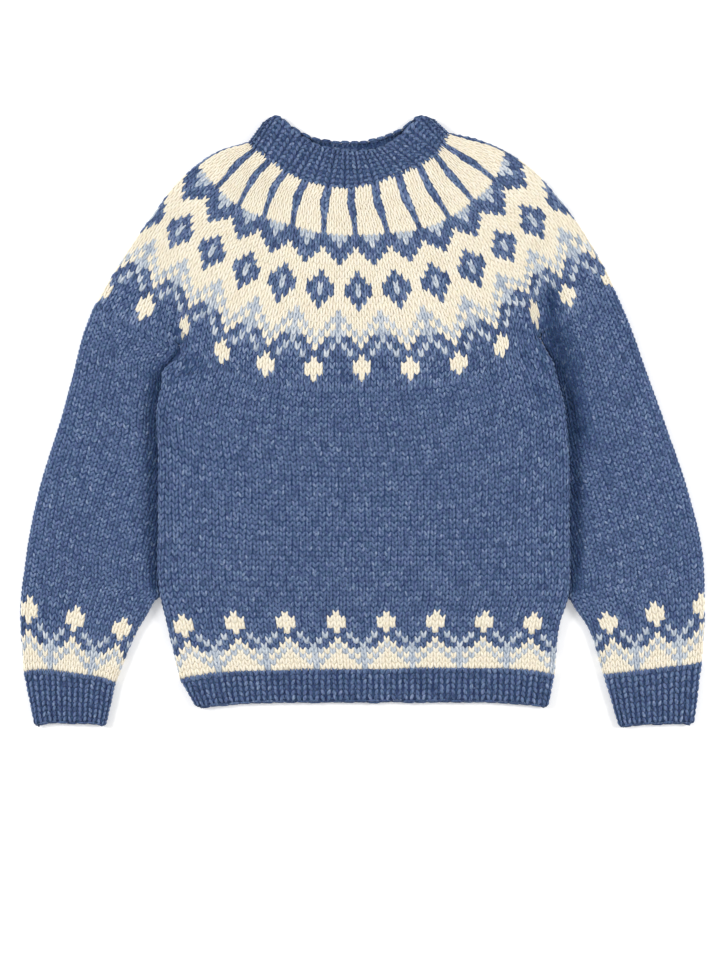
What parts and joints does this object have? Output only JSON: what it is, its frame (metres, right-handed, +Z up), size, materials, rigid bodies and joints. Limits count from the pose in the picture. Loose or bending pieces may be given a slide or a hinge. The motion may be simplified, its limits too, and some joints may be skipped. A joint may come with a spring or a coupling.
{
  "type": "nordic sweater",
  "caption": "Hand-knitted round-yoke wool sweater laid flat on its back, with ribbed collar, hem and cuffs and a stranded colour pattern.",
  "frame": {"origin": "middle of the flat underside, at the centre of the garment's width and length", "axes": "+X across the garment towards the picture's right, +Y from hem to neck, +Z up from the surface that it lies on, out of the front"},
  "size_m": [0.776, 0.691, 0.0139],
  "materials": {
    "blue_wool": "heathered blue bulky wool knitting, soft and slightly fuzzy",
    "patterned_wool": "stranded colour knitting in cream, light blue and heathered blue wool"
  },
  "bodies": {
    "root": {"body": "blue_wool", "hem_rib": "blue_wool", "sleeve_left": "blue_wool", "sleeve_right": "blue_wool", "cuff_left": "blue_wool", "cuff_right": "blue_wool", "collar_rib": "blue_wool", "yoke": "patterned_wool"}
  },
  "joints": []
}
